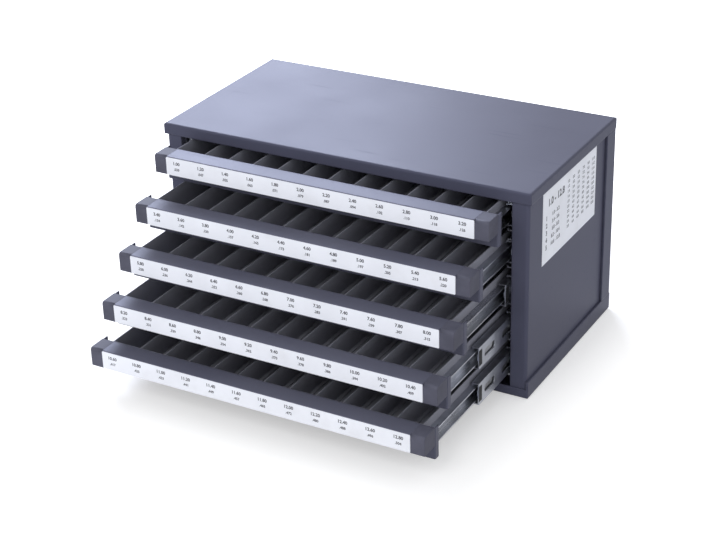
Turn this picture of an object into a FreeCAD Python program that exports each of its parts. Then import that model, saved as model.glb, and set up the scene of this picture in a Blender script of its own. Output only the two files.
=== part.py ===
import FreeCAD, Part
import Sketcher
import os
import re

# A bench case of five shallow drawers for drills and taps, in millimetres.
# The origin is the centre of the base on the surface that the case stands on,
# with +X to the right, +Y to the back and +Z up. The drawers stand part way out.
# Sketches are drawn from the front face of the case, so their Y is 0 there, and
# the pieces of a drawer are drawn shut, with Z from the underside of its bar.

SIZES = {
    # The case: a top pan and a base pan joined by side panels and a back
    "case_width": 400.0,
    "pan_sheet": 1.2,
    "panel_sheet": 1.0,
    "pan_bend": 2.0,
    "stile_width": 16.8,
    "stile_bend": 3.0,
    "top_flange": 11.4,
    "top_gap": 0.7,
    "base_flange": 18.5,
    "base_rail": 10.0,
    "base_gap": 6.5,
    "back_flange": 22.2,
    "back_lap": 7.5,
    "lap_gap": 1.0,
    "flange_gap": 2.8,
    # The front of a drawer: a folded bar with end caps and a label, on a panel
    "bar_height": 19.4,
    "bar_depth": 20.0,
    "bar_sheet": 1.2,
    "bar_lip": 5.0,
    "bar_bend": 0.6,
    "cap_length": 14.1,
    "cap_round": 3.0,
    "plug_length": 8.0,
    "plug_wall": 1.5,
    "plug_gap": 0.15,
    "label_sheet": 0.6,
    "label_margin": 0.6,
    "front_gap": 0.8,
    "front_drop": 14.0,
    "front_return": 6.7,
    "front_bend": 1.5,
    "drawer_gap": 4.6,
    # The tray of a drawer and its dividers
    "tray_sheet": 0.8,
    "tray_drop": 8.5,
    "rim_step": 1.0,
    "tray_tail": 7.0,
    "compartments": 12,
    "divider_sheet": 0.8,
    "divider_step": 3.0,
    "divider_foot": 5.0,
    "divider_gap": 0.2,
    # The slides: three channels one inside the other, with a ball cage between
    "slide_space": 12.7,
    "slide_rise": 2.0,
    "slide_front": 8.0,
    "slide_length": 175.0,
    "slide_rear": 19.8,
    "member_sheet": 1.2,
    "member_height": 15.0,
    "member_toe": 1.0,
    "mid_inset": 2.5,
    "drawer_inset": 5.0,
    "mid_mouth": 2.5,
    "outer_mouth": 5.0,
    "cage_sheet": 0.8,
    "cage_length": 76.0,
    "inner_ball": 2.4,
    "outer_ball": 2.3,
    "ball_gap": 0.1,
    "side_gap": 0.4,
    "windows": 4,
    "window_inset": 12.0,
    "window_length": 22.0,
    "window_height": 8.0,
    "window_round": 3.0,
    # The stops: tabs that are bent out of the channels
    "stop_gap": 0.6,
    "stop_setback": 1.2,
    "stop_height": 6.0,
    "stop_reach": 1.3,
    "mid_stop_inset": 10.9,
    "drawer_stop_inset": 3.9,
    # How far each drawer stands out on its middle channels, and they on the case
    "mid_rest_1": 0.0,
    "mid_rest_2": 0.0,
    "mid_rest_3": 14.9,
    "mid_rest_4": 71.5,
    "mid_rest_5": 71.5,
    "drawer_rest_1": 26.6,
    "drawer_rest_2": 64.5,
    "drawer_rest_3": 82.0,
    "drawer_rest_4": 57.8,
    "drawer_rest_5": 82.3,
}

DRAWERS = [name.removeprefix("mid_rest_") for name in SIZES if name.startswith("mid_rest_")]

# Widths, each measured from the middle plane of the case
CASE_HALF = "(case_width / 2)"
BODY_HALF = f"({CASE_HALF} - 2 * pan_sheet)"
OPENING_HALF = f"({BODY_HALF} - stile_width)"
FRONT_HALF = f"({OPENING_HALF} - front_gap)"
BAR_HALF = f"({FRONT_HALF} - cap_length)"
TRAY_HALF = f"({OPENING_HALF} - slide_space)"
COMPARTMENT_SPAN = f"(2 * ({TRAY_HALF} - tray_sheet))"

# Heights of the case, and of a drawer above the underside of its bar
DRAWER_PITCH = "(front_drop + bar_height + drawer_gap)"
LOWEST_BAR = "(base_rail + base_gap + front_drop)"
HIGHEST_BAR = f"({LOWEST_BAR} + {len(DRAWERS) - 1} * {DRAWER_PITCH})"
FLANGE_FOOT = f"({HIGHEST_BAR} + bar_height + top_gap)"
CASE_HEIGHT = f"({FLANGE_FOOT} + top_flange)"
RIM = "(bar_height - rim_step)"
TRAY_FLOOR = "(tray_sheet - tray_drop)"

# Depths of the case, from its front face
SLIDE_END = "(slide_front + slide_length)"
BACK_FACE = f"({SLIDE_END} + slide_rear + pan_sheet)"
CASE_DEPTH = f"({BACK_FACE} + pan_sheet)"
TRAY_BACK = f"({SLIDE_END} + tray_tail)"
MID_FRONT = "(slide_front + mid_inset)"
MID_END = f"({SLIDE_END} - mid_inset)"
DRAWER_FRONT = "(slide_front + drawer_inset)"
DRAWER_END = f"({SLIDE_END} - drawer_inset)"

# The slide's channels and cages, outwards from the tray, and half their heights
OUTER_WEB = f"({OPENING_HALF} - member_sheet)"
OUTER_CAGE_FACE = f"({OUTER_WEB} - side_gap)"
MID_BACK = f"({OUTER_CAGE_FACE} - cage_sheet - side_gap)"
MID_WEB = f"({MID_BACK} - member_sheet)"
INNER_CAGE_FACE = f"({MID_WEB} - side_gap)"
DRAWER_LIP = f"({INNER_CAGE_FACE} - cage_sheet - side_gap)"
MID_MOUTH = f"({TRAY_HALF} + mid_mouth)"
OUTER_MOUTH = f"({TRAY_HALF} + outer_mouth)"
DRAWER_HALF = "(member_height / 2)"
MID_INSIDE = f"({DRAWER_HALF} + inner_ball + 2 * ball_gap)"
MID_HALF = f"({MID_INSIDE} + member_sheet)"
OUTER_INSIDE = f"({MID_HALF} + outer_ball + 2 * ball_gap)"
OUTER_HALF = f"({OUTER_INSIDE} + member_sheet)"

# Where the cages lie when the slide is run right out against its stops, and how
# far each stage of the slide then has travelled
OUTER_CAGE_OUT = "(slide_front + stop_setback + member_sheet + stop_gap)"
OUTER_CAGE_TAIL = f"({OUTER_CAGE_OUT} + cage_length)"
MID_STOP = f"({MID_END} - mid_stop_inset)"
MID_TRAVEL = f"({MID_STOP} - stop_gap - {OUTER_CAGE_TAIL})"
INNER_CAGE_OUT = f"({MID_FRONT} + stop_setback + member_sheet + stop_gap)"
INNER_CAGE_TAIL = f"({INNER_CAGE_OUT} + cage_length)"
DRAWER_STOP = f"({DRAWER_END} - drawer_stop_inset)"
DRAWER_TRAVEL = f"({DRAWER_STOP} - stop_gap - {INNER_CAGE_TAIL})"

NEAR = 1e-4

doc = FreeCAD.newDocument("DrillCase")


def fill_sheet():
    """Writes every driving size into a cell of its own, under its name."""
    sheet = doc.addObject("Spreadsheet::Sheet", "Sizes")
    for row, (name, value) in enumerate(SIZES.items(), start=1):
        sheet.set(f"A{row}", str(value))
        sheet.setAlias(f"A{row}", name)
    doc.recompute()


def cells(text):
    """Turns the names of sizes in a formula into the cells of the sheet."""
    return re.sub(r"[a-z][a-z_0-9]*", lambda found: f"Sizes.{found[0]}", text)


# Tools that draw and fold sheet metal

def new_body(name):
    """Starts a piece of its own."""
    body = doc.addObject("PartDesign::Body", name)
    body.AllowCompound = True
    return body


def plane_of(body, role):
    """Finds one of a body's own origin planes or axes."""
    return next(item for item in body.Origin.OriginFeatures if item.Role == role)


def profile(body, plane, corners, height="0"):
    """Draws a closed outline whose every corner is tied to the sheet.

    The outline lies on the named plane, raised along the plane's normal.
    """
    sketch = body.newObject("Sketcher::SketchObject", f"{body.Name}_profile")
    sketch.AttachmentSupport = [(plane_of(body, plane), "")]
    sketch.MapMode = "FlatFace"
    sketch.setExpression("AttachmentOffset.Base.z", cells(height))
    count = len(corners)
    start = [FreeCAD.Vector(index, index * index, 0) for index in range(count)]
    for index in range(count):
        sketch.addGeometry(Part.LineSegment(start[index], start[(index + 1) % count]))
    for index in range(count):
        following = (index + 1) % count
        sketch.addConstraint(Sketcher.Constraint("Coincident", index, 2, following, 1))
    for index, formulas in enumerate(corners):
        for kind, formula, guess in zip(("DistanceX", "DistanceY"), formulas, start[index]):
            number = sketch.addConstraint(
                Sketcher.Constraint(kind, -1, 1, index, 1, float(guess)))
            sketch.renameConstraint(number, f"{kind}{index}")
            sketch.setExpression(f"Constraints.{kind}{index}", cells(formula))
    return sketch


def rectangle(left, low, right, high):
    """Gives the corners of an upright rectangle."""
    return [(left, low), (right, low), (right, high), (left, high)]


def channel(mouth, near, far, inside, outside, rise="0"):
    """Gives a channel that is open at its mouth, level with the given rise.

    Its web lies between near and far, and its two lips between inside and
    outside, half heights from the rise.
    """
    return [
        (mouth, f"{rise} + ({outside})"), (far, f"{rise} + ({outside})"),
        (far, f"{rise} - ({outside})"), (mouth, f"{rise} - ({outside})"),
        (mouth, f"{rise} - ({inside})"), (near, f"{rise} - ({inside})"),
        (near, f"{rise} + ({inside})"), (mouth, f"{rise} + ({inside})"),
    ]


def toed_channel(mouth, heel, near, far, inside, outside, toe, rise="0"):
    """Gives a channel whose lips turn in at the mouth, by the length of a toe.

    The toes lie between mouth and heel.
    """
    low_toe = f"{rise} - ({inside} - {toe})"
    high_toe = f"{rise} + ({inside} - {toe})"
    return [
        (mouth, high_toe), (mouth, f"{rise} + ({outside})"),
        (far, f"{rise} + ({outside})"), (far, f"{rise} - ({outside})"),
        (mouth, f"{rise} - ({outside})"), (mouth, low_toe),
        (heel, low_toe), (heel, f"{rise} - ({inside})"),
        (near, f"{rise} - ({inside})"), (near, f"{rise} + ({inside})"),
        (heel, f"{rise} + ({inside})"), (heel, high_toe),
    ]


def pad(body, sketch, length, back=False, middle=False):
    """Raises an outline along its normal, against it, or to both sides alike."""
    feature = body.newObject("PartDesign::Pad", f"{body.Name}_pad")
    feature.Profile = sketch
    feature.setExpression("Length", cells(length))
    feature.Reversed = back
    feature.Midplane = middle
    return feature


def run_along(body, corners, front, back):
    """Pads a section drawn on the X and Z axes from one depth to another."""
    sketch = profile(body, "XZ_Plane", corners, f"-({front})")
    return pad(body, sketch, f"{back} - {front}", back=True)


def stand_up(body, corners, foot, top):
    """Pads a plan drawn on the X and Y axes from one level to another."""
    sketch = profile(body, "XY_Plane", corners, foot)
    return pad(body, sketch, f"{top} - {foot}")


def cut(body, sketch, length, back=False):
    """Cuts an outline out of a piece, and makes sure that it took something."""
    doc.recompute()
    before = body.Shape.Volume
    feature = body.newObject("PartDesign::Pocket", f"{body.Name}_cut")
    feature.Profile = sketch
    feature.setExpression("Length", cells(length))
    feature.Reversed = back
    doc.recompute()
    if body.Shape.Volume > before - NEAR:
        raise RuntimeError(f"the cut in {body.Name} took nothing away")
    return feature


def named_edges(feature, chosen):
    """Lists the names of a feature's edges that pass a test."""
    doc.recompute()
    edges = enumerate(feature.Shape.Edges, start=1)
    return [f"Edge{number}" for number, edge in edges if chosen(edge)]


def named_faces(feature, chosen):
    """Lists the names of a feature's faces that pass a test."""
    doc.recompute()
    faces = enumerate(feature.Shape.Faces, start=1)
    return [f"Face{number}" for number, face in faces if chosen(face)]


def round_edges(body, feature, names, radius):
    """Rounds the named edges of a feature."""
    fillet = body.newObject("PartDesign::Fillet", f"{body.Name}_bend")
    fillet.Base = (feature, names)
    fillet.setExpression("Radius", cells(radius))
    return fillet


def edges_from(feature, sketch, corners):
    """Lists the edges that a pad drew from the given corners of its outline."""
    doc.recompute()
    normal = sketch.Placement.Rotation.multVec(FreeCAD.Vector(0, 0, 1))
    points = []
    for corner in corners:
        drawn = (sketch.getDatum(f"{kind}{corner}").Value
                 for kind in ("DistanceX", "DistanceY"))
        points.append(sketch.Placement.multVec(FreeCAD.Vector(*drawn, 0)))

    def stands_on_corner(edge):
        ends = [vertex.Point for vertex in edge.Vertexes]
        return any(all((end - point).cross(normal).Length < NEAR for end in ends)
                   for point in points)

    return named_edges(feature, stands_on_corner)


def shell(body, feature, wall, open_faces):
    """Hollows a block from the given faces and leaves a wall of sheet."""
    hollow = body.newObject("PartDesign::Thickness", f"{body.Name}_shell")
    hollow.Base = (feature, open_faces)
    hollow.setExpression("Value", cells(wall))
    hollow.Reversed = True
    doc.recompute()
    return hollow


def in_a_row(body, feature, axis, span, count):
    """Repeats a feature along an axis, from its own place over the given span."""
    row = body.newObject("PartDesign::LinearPattern", f"{body.Name}_row")
    row.Originals = [feature]
    row.Direction = (plane_of(body, axis), [""])
    row.setExpression("Length", cells(span))
    row.setExpression("Occurrences", cells(count))
    body.Tip = row
    return row


def mirrored(body, features):
    """Repeats features on the other side of the middle plane."""
    mirror = body.newObject("PartDesign::Mirrored", f"{body.Name}_mirror")
    mirror.Originals = features
    mirror.MirrorPlane = (plane_of(body, "YZ_Plane"), [""])
    body.Tip = mirror
    return mirror


def twin_of(body):
    """Makes the left-hand twin of a right-hand piece."""
    twin = doc.addObject("Part::Mirroring", f"{body.Name}_twin")
    twin.Source = body
    twin.Normal = FreeCAD.Vector(1, 0, 0)
    return twin


def on_both_sides(body):
    """Joins a right-hand piece and its left-hand twin in one pair."""
    twin = twin_of(body)
    both = doc.addObject("Part::Compound", f"{body.Name}_pair")
    both.Links = [body, twin]
    return both


# The case

def make_top_pan():
    """Top: a sheet folded down on all four sides, hemmed along its ends."""
    body = new_body("top_pan")
    outline = rectangle(f"-{CASE_HALF}", "0", CASE_HALF, CASE_DEPTH)
    block = stand_up(body, outline, FLANGE_FOOT, CASE_HEIGHT)
    top_edges = named_edges(
        block, lambda edge: edge.BoundBox.ZMin > block.Shape.BoundBox.ZMax - NEAR)
    folded = round_edges(body, block, top_edges, "pan_bend")
    underside = named_faces(
        folded, lambda face: face.BoundBox.ZMax < folded.Shape.BoundBox.ZMin + NEAR)
    shell(body, folded, "pan_sheet", underside)
    hem = rectangle(BODY_HALF, "pan_sheet", f"{BODY_HALF} + pan_sheet", BACK_FACE)
    inner_layer = stand_up(body, hem, FLANGE_FOOT, f"({CASE_HEIGHT} - pan_sheet)")
    mirrored(body, [inner_layer])
    return body


def make_base_pan():
    """Base: a pan folded up on all sides, with a lower rail under the drawers."""
    body = new_body("base_pan")
    outline = rectangle(f"-{CASE_HALF}", "0", CASE_HALF, CASE_DEPTH)
    block = stand_up(body, outline, "0", "base_flange")
    low_edges = named_edges(
        block, lambda edge: edge.BoundBox.ZMax < block.Shape.BoundBox.ZMin + NEAR)
    folded = round_edges(body, block, low_edges, "pan_bend")
    upper_side = named_faces(
        folded, lambda face: face.BoundBox.ZMin > folded.Shape.BoundBox.ZMax - NEAR)
    shell(body, folded, "pan_sheet", upper_side)
    hem = rectangle(BODY_HALF, "pan_sheet", f"{BODY_HALF} + pan_sheet", BACK_FACE)
    inner_layer = stand_up(body, hem, "pan_sheet", "base_flange")
    mirrored(body, [inner_layer])
    gap = rectangle(f"-{BODY_HALF}", "base_rail", BODY_HALF, "base_flange + pan_sheet")
    cut(body, profile(body, "XZ_Plane", gap), "2 * pan_sheet")
    return body


def make_back_panel():
    """Back: a sheet that wraps round the sides and tucks inside both pans."""
    body = new_body("back_panel")
    outline = rectangle(f"-{CASE_HALF}", f"{CASE_DEPTH} - back_flange", CASE_HALF, CASE_DEPTH)
    block = stand_up(body, outline, "base_flange", FLANGE_FOOT)
    rear_corners = named_edges(
        block, lambda edge: edge.BoundBox.YMin > block.Shape.BoundBox.YMax - NEAR
        and edge.BoundBox.ZLength > edge.BoundBox.XLength)
    wrapped = round_edges(body, block, rear_corners, "pan_bend")

    def is_open(face):
        box = wrapped.Shape.BoundBox
        return (face.BoundBox.YMax < box.YMin + NEAR or face.BoundBox.ZMin > box.ZMax - NEAR
                or face.BoundBox.ZMax < box.ZMin + NEAR)

    shell(body, wrapped, "pan_sheet", named_faces(wrapped, is_open))
    hem = rectangle(BODY_HALF, f"{CASE_DEPTH} - back_flange",
                    f"{BODY_HALF} + pan_sheet", BACK_FACE)
    inner_layer = stand_up(body, hem, "base_flange", FLANGE_FOOT)
    mirrored(body, [inner_layer])
    lap_half = f"({OPENING_HALF} - lap_gap)"
    lap = rectangle(f"-{lap_half}", f"{BACK_FACE} - pan_sheet", lap_half, BACK_FACE)
    stand_up(body, lap, "(base_flange - back_lap)", "(base_flange + back_lap)")
    stand_up(body, lap, f"({FLANGE_FOOT} - back_lap)", f"({FLANGE_FOOT} + back_lap)")
    return body


def make_side_panel():
    """Right side: a tall channel whose front flange is the stile by the drawers."""
    body = new_body("side_panel")
    corners = channel(OPENING_HALF, f"{BODY_HALF} - panel_sheet", BODY_HALF,
                      f"({BACK_FACE} - pan_sheet) / 2 - panel_sheet",
                      f"({BACK_FACE} - pan_sheet) / 2",
                      f"({BACK_FACE} + pan_sheet) / 2")
    sketch = profile(body, "XY_Plane", corners, "pan_sheet")
    wall = pad(body, sketch, f"{CASE_HEIGHT} - 2 * pan_sheet")
    inner = round_edges(body, wall, edges_from(wall, sketch, (5, 6)),
                        "stile_bend - panel_sheet")
    round_edges(body, inner, edges_from(inner, sketch, (1, 2)), "stile_bend")
    return body


def make_slide_panel():
    """Right inner side: the wall that carries the slides, flanged to the stile."""
    body = new_body("slide_panel")
    depth = f"({BACK_FACE} - pan_sheet - 2 * panel_sheet)"
    corners = channel(f"{BODY_HALF} - panel_sheet - flange_gap",
                      f"{OPENING_HALF} + panel_sheet", OPENING_HALF,
                      f"{depth} / 2 - panel_sheet", f"{depth} / 2",
                      f"({BACK_FACE} + pan_sheet) / 2")
    sketch = profile(body, "XY_Plane", corners, "pan_sheet")
    pad(body, sketch, f"{CASE_HEIGHT} - 2 * pan_sheet")
    return body


# The drawer

def make_tray():
    """Tray: a shallow pan that runs back from the front panel."""
    body = new_body("tray")
    outline = rectangle(f"-{TRAY_HALF}", "panel_sheet", TRAY_HALF, TRAY_BACK)
    block = stand_up(body, outline, "-tray_drop", RIM)
    rim = named_faces(
        block, lambda face: face.BoundBox.ZMin > block.Shape.BoundBox.ZMax - NEAR)
    shell(body, block, "tray_sheet", rim)
    return body


def make_dividers():
    """Dividers: upright strips with a foot, evenly spaced along the tray."""
    body = new_body("dividers")
    pitch = f"({COMPARTMENT_SPAN} / compartments)"
    left = f"({pitch} - {COMPARTMENT_SPAN} / 2 - divider_sheet / 2)"
    right = f"{left} + divider_sheet"
    toe = f"{left} + divider_foot"
    ledge = f"{TRAY_FLOOR} + divider_sheet"
    top = f"{RIM} - divider_step"
    section = [(left, TRAY_FLOOR), (toe, TRAY_FLOOR), (toe, ledge),
               (right, ledge), (right, top), (left, top)]
    strip = run_along(body, section, "(panel_sheet + tray_sheet + divider_gap)",
                      f"({TRAY_BACK} - tray_sheet - divider_gap)")
    in_a_row(body, strip, "X_Axis", f"{pitch} * (compartments - 2)", "compartments - 1")
    return body


def make_front_panel():
    """Front panel: closes the opening and turns back at both ends."""
    body = new_body("front_panel")
    inside = f"({FRONT_HALF} - panel_sheet)"
    corners = [(f"-{FRONT_HALF}", "0"), (FRONT_HALF, "0"),
               (FRONT_HALF, "front_return"), (inside, "front_return"),
               (inside, "panel_sheet"), (f"-{inside}", "panel_sheet"),
               (f"-{inside}", "front_return"), (f"-{FRONT_HALF}", "front_return")]
    sketch = profile(body, "XY_Plane", corners, "-front_drop")
    sheet = pad(body, sketch, f"{RIM} + front_drop")
    inner = round_edges(body, sheet, edges_from(sheet, sketch, (4, 5)),
                        "front_bend - panel_sheet")
    round_edges(body, inner, edges_from(inner, sketch, (0, 1)), "front_bend")
    return body


def make_front_bar():
    """Bar: a channel along the front panel, its lips turned in at the back."""
    body = new_body("front_bar")
    half = "(bar_height / 2)"
    corners = toed_channel("0", "-bar_sheet", "bar_sheet - bar_depth", "-bar_depth",
                           f"({half} - bar_sheet)", half, "(bar_lip - bar_sheet)", half)
    sketch = profile(body, "YZ_Plane", corners)
    bar = pad(body, sketch, f"2 * {BAR_HALF}", middle=True)
    round_edges(body, bar, edges_from(bar, sketch, (2, 3)), "bar_bend")
    return body


def make_end_cap():
    """Right end cap: a block as deep as the bar, with a hollow plug inside it."""
    body = new_body("end_cap")
    outline = rectangle(BAR_HALF, "-bar_depth", FRONT_HALF, "0")
    block = stand_up(body, outline, "0", "bar_height")

    def is_grip(edge):
        box = block.Shape.BoundBox
        return edge.BoundBox.YMax < box.YMin + NEAR and edge.BoundBox.ZMin > box.ZMax - NEAR

    round_edges(body, block, named_edges(block, is_grip), "cap_round")
    margin = "(bar_sheet + plug_gap)"
    plug = rectangle(f"{BAR_HALF} - plug_length", f"{margin} - bar_depth", BAR_HALF, f"-{margin}")
    stand_up(body, plug, margin, f"(bar_height - {margin})")
    bore = rectangle(f"{margin} + plug_wall - bar_depth", f"{margin} + plug_wall",
                     f"-({margin} + plug_wall)", f"bar_height - {margin} - plug_wall")
    face = profile(body, "YZ_Plane", bore, f"{BAR_HALF} - plug_length")
    cut(body, face, "plug_length + cap_length / 2", back=True)
    return body


def make_label_strip():
    """Label: a strip of card along the front of the bar."""
    body = new_body("label_strip")
    face = rectangle(f"-{BAR_HALF}", "label_margin", BAR_HALF, "bar_height - label_margin")
    run_along(body, face, "(-bar_depth - label_sheet)", "(-bar_depth)")
    return body


# The slide, drawn for the right-hand side

def add_stop(body, near, far, half, front):
    """Adds a bent stop tab to a channel, from its named front face backwards."""
    section = rectangle(near, f"slide_rise - {half}", far, f"slide_rise + {half}")
    return run_along(body, section, front, f"({front} + member_sheet)")


def make_outer_member():
    """Outer channel: fixed to the case, with stops for its cage and the middle."""
    body = new_body("outer_member")
    section = toed_channel(OUTER_MOUTH, f"{OUTER_MOUTH} + member_sheet",
                           OUTER_WEB, OPENING_HALF, OUTER_INSIDE, OUTER_HALF,
                           "member_toe", "slide_rise")
    run_along(body, section, "slide_front", SLIDE_END)
    add_stop(body, f"{OUTER_WEB} - stop_reach", OUTER_WEB, "stop_height / 2",
             "(slide_front + stop_setback)")
    add_stop(body, MID_WEB, OUTER_WEB, "stop_height / 2", f"({MID_END} + stop_gap)")
    return body


def punch_windows(body):
    """Punches a row of round-cornered windows through the middle channel's web."""
    front = f"({MID_FRONT} + window_inset)"
    outline = rectangle(front, "slide_rise - window_height / 2",
                        f"{front} + window_length", "slide_rise + window_height / 2")
    sketch = profile(body, "YZ_Plane", outline, MID_BACK)
    window = cut(body, sketch, "member_sheet")
    span = f"{MID_STOP} - window_inset - window_length - {front}"
    row = in_a_row(body, window, "Y_Axis", span, "windows")
    levels = [sketch.getDatum(f"DistanceY{corner}").Value for corner in (0, 2)]

    def is_corner(edge):
        box = edge.BoundBox
        return (max(box.YLength, box.ZLength) < NEAR
                and min(abs(box.ZMin - level) for level in levels) < NEAR)

    round_edges(body, row, named_edges(row, is_corner), "window_round")


def make_mid_member():
    """Middle channel: runs in the outer one and carries the drawer's channel."""
    body = new_body("mid_member")
    section = toed_channel(MID_MOUTH, f"{MID_MOUTH} + member_sheet",
                           MID_WEB, MID_BACK, MID_INSIDE, MID_HALF,
                           "member_toe", "slide_rise")
    run_along(body, section, MID_FRONT, MID_END)
    punch_windows(body)
    add_stop(body, MID_BACK, f"{MID_BACK} + stop_reach", "stop_height / 2", MID_STOP)
    add_stop(body, f"{MID_WEB} - stop_reach", MID_WEB, "stop_height / 2",
             f"({MID_FRONT} + stop_setback)")
    add_stop(body, f"{DRAWER_LIP} - member_sheet", MID_WEB,
             f"({DRAWER_HALF} - ball_gap)", f"({DRAWER_END} + stop_gap)")
    return body


def make_drawer_member():
    """Drawer channel: fixed to the tray, open towards the middle channel."""
    body = new_body("drawer_member")
    section = channel(DRAWER_LIP, f"{TRAY_HALF} + member_sheet", TRAY_HALF,
                      f"({DRAWER_HALF} - member_sheet)", DRAWER_HALF, "slide_rise")
    run_along(body, section, DRAWER_FRONT, DRAWER_END)
    tab_left = f"{DRAWER_LIP} - 2 * member_sheet"
    for side in ("+", "-"):
        foot = f"slide_rise {side} {DRAWER_HALF}"
        tip = f"slide_rise {side} ({DRAWER_HALF} + stop_reach)"
        tab = rectangle(tab_left, foot, DRAWER_LIP, tip)
        run_along(body, tab, DRAWER_STOP, f"({DRAWER_STOP} + member_sheet)")
    return body


def make_cage(name, mouth, face, inside, ball, out, travel):
    """A ball cage: a web and two strips that fill the races beside it.

    It is drawn where it lies when the slide is shut, half the travel behind
    the place that it has when the slide is run right out.
    """
    body = new_body(name)
    section = channel(mouth, f"{face} - cage_sheet", face,
                      f"({inside} + ball_gap)", f"({inside} + ball_gap + {ball})",
                      "slide_rise")
    front = f"({out} + {travel} / 2)"
    run_along(body, section, front, f"({front} + cage_length)")
    return body


# Where everything stands

def place(item, node, lift="0", out="0"):
    """Gives a piece its node name and moves it up and out of the case."""
    item.Label = node
    item.setExpression("Placement.Base.y", cells(f"-{CASE_DEPTH} / 2 - ({out})"))
    item.setExpression("Placement.Base.z", cells(lift))
    return item


def copy_of(source, node, lift, out):
    """Places one more copy of a piece that every drawer has."""
    item = doc.addObject("Part::Compound", node)
    item.Links = [source]
    return place(item, node, lift, out)


def left_and_right(body, stem):
    """Places a right-hand piece of the case and its left-hand twin."""
    twin = twin_of(body)
    right = doc.addObject("Part::Compound", f"{stem}_right")
    right.Links = [body]
    return [place(twin, f"{stem}_left"), place(right, f"{stem}_right")]


def build_case():
    """Makes the fixed sheet metal and gives it back as placed pieces."""
    nodes = [place(make(), node) for make, node in (
        (make_top_pan, "top_pan"),
        (make_base_pan, "base_pan"),
        (make_back_panel, "back_panel"),
    )]
    nodes += left_and_right(make_side_panel(), "side_panel")
    nodes += left_and_right(make_slide_panel(), "slide_panel")
    return nodes


def build_drawers():
    """Makes each piece of a drawer once and places a copy in every drawer."""
    on_drawer = {
        "tray": make_tray(),
        "dividers": make_dividers(),
        "front_panel": make_front_panel(),
        "front_bar": make_front_bar(),
        "end_caps": on_both_sides(make_end_cap()),
        "label_strip": make_label_strip(),
        "drawer_members": on_both_sides(make_drawer_member()),
    }
    outer = on_both_sides(make_outer_member())
    middle = on_both_sides(make_mid_member())
    outer_cage = on_both_sides(make_cage(
        "outer_cage", f"{OUTER_MOUTH} + member_sheet + side_gap", OUTER_CAGE_FACE,
        MID_HALF, "outer_ball", OUTER_CAGE_OUT, MID_TRAVEL))
    inner_cage = on_both_sides(make_cage(
        "inner_cage", f"{MID_MOUTH} + member_sheet + side_gap", INNER_CAGE_FACE,
        DRAWER_HALF, "inner_ball", INNER_CAGE_OUT, DRAWER_TRAVEL))
    nodes = []
    fixed = []
    for row, number in enumerate(DRAWERS):
        lift = f"{HIGHEST_BAR} - {row} * {DRAWER_PITCH}"
        mid_out = f"mid_rest_{number}"
        drawer_out = f"drawer_rest_{number}"
        pair = doc.addObject("Part::Compound", f"outer_pair_{number}")
        pair.Links = [outer]
        pair.setExpression("Placement.Base.z", cells(lift))
        fixed.append(pair)
        nodes.append(copy_of(outer_cage, f"outer_cages_{number}", lift, f"{mid_out} / 2"))
        nodes.append(copy_of(middle, f"mid_members_{number}", lift, mid_out))
        nodes.append(copy_of(inner_cage, f"inner_cages_{number}", lift,
                             f"{mid_out} + {drawer_out} / 2"))
        for stem, piece in on_drawer.items():
            nodes.append(copy_of(piece, f"{stem}_{number}", lift, f"{mid_out} + {drawer_out}"))
    outers = doc.addObject("Part::Compound", "outer_members")
    outers.Links = fixed
    nodes.append(place(outers, "outer_members"))
    return nodes


def check(nodes):
    """Stops before anything is written if an object failed or is not sound."""
    for item in doc.Objects:
        if "Invalid" in item.State or "Error" in item.State:
            raise RuntimeError(f"{item.Label} did not recompute: {item.State}")
    for node in nodes:
        if node.Shape.isNull() or not node.Shape.isValid() or not node.Shape.Solids:
            raise RuntimeError(f"{node.Label} has no sound shape")


def write(nodes):
    """Writes each piece to a file under its own name."""
    os.makedirs("parts", exist_ok=True)
    for node in nodes:
        node.Shape.exportStep(f"parts/{node.Label}.step")


fill_sheet()
placed = build_case() + build_drawers()
doc.recompute()
check(placed)
write(placed)
print(f"{len(placed)} pieces, {sum(len(node.Shape.Solids) for node in placed)} solids")
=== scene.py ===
import logging
import math
from dataclasses import dataclass, field
from enum import Enum
from typing import Any, Union

import bmesh
import bpy
from mathutils import Matrix, Vector


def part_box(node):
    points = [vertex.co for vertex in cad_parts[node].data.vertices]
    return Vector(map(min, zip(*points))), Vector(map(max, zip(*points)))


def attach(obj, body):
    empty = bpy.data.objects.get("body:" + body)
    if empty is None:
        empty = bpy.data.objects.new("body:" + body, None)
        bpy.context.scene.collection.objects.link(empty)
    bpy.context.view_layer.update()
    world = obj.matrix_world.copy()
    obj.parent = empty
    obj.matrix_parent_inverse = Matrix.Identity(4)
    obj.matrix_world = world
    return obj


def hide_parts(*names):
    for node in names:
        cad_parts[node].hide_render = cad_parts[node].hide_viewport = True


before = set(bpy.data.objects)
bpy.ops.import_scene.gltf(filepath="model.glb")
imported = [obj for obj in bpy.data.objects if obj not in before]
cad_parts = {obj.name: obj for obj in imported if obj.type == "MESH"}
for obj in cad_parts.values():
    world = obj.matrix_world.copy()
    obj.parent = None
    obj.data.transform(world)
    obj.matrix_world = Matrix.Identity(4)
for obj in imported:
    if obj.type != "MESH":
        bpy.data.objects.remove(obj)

log = logging.getLogger("drill_case")

MM = 0.001
INCH = 25.4
NEAR = 0.01 * MM
WELD = 0.001 * MM
SHARP = math.radians(40)
QUARTER_TURN = math.pi / 2
DRAWERS = (1, 2, 3, 4, 5)
Triple = tuple[float, float, float]
Colour = Triple
Span = tuple[float, float]
Input = Union[float, Triple, bpy.types.NodeSocket, "Field"]


# Shader arithmetic

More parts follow.
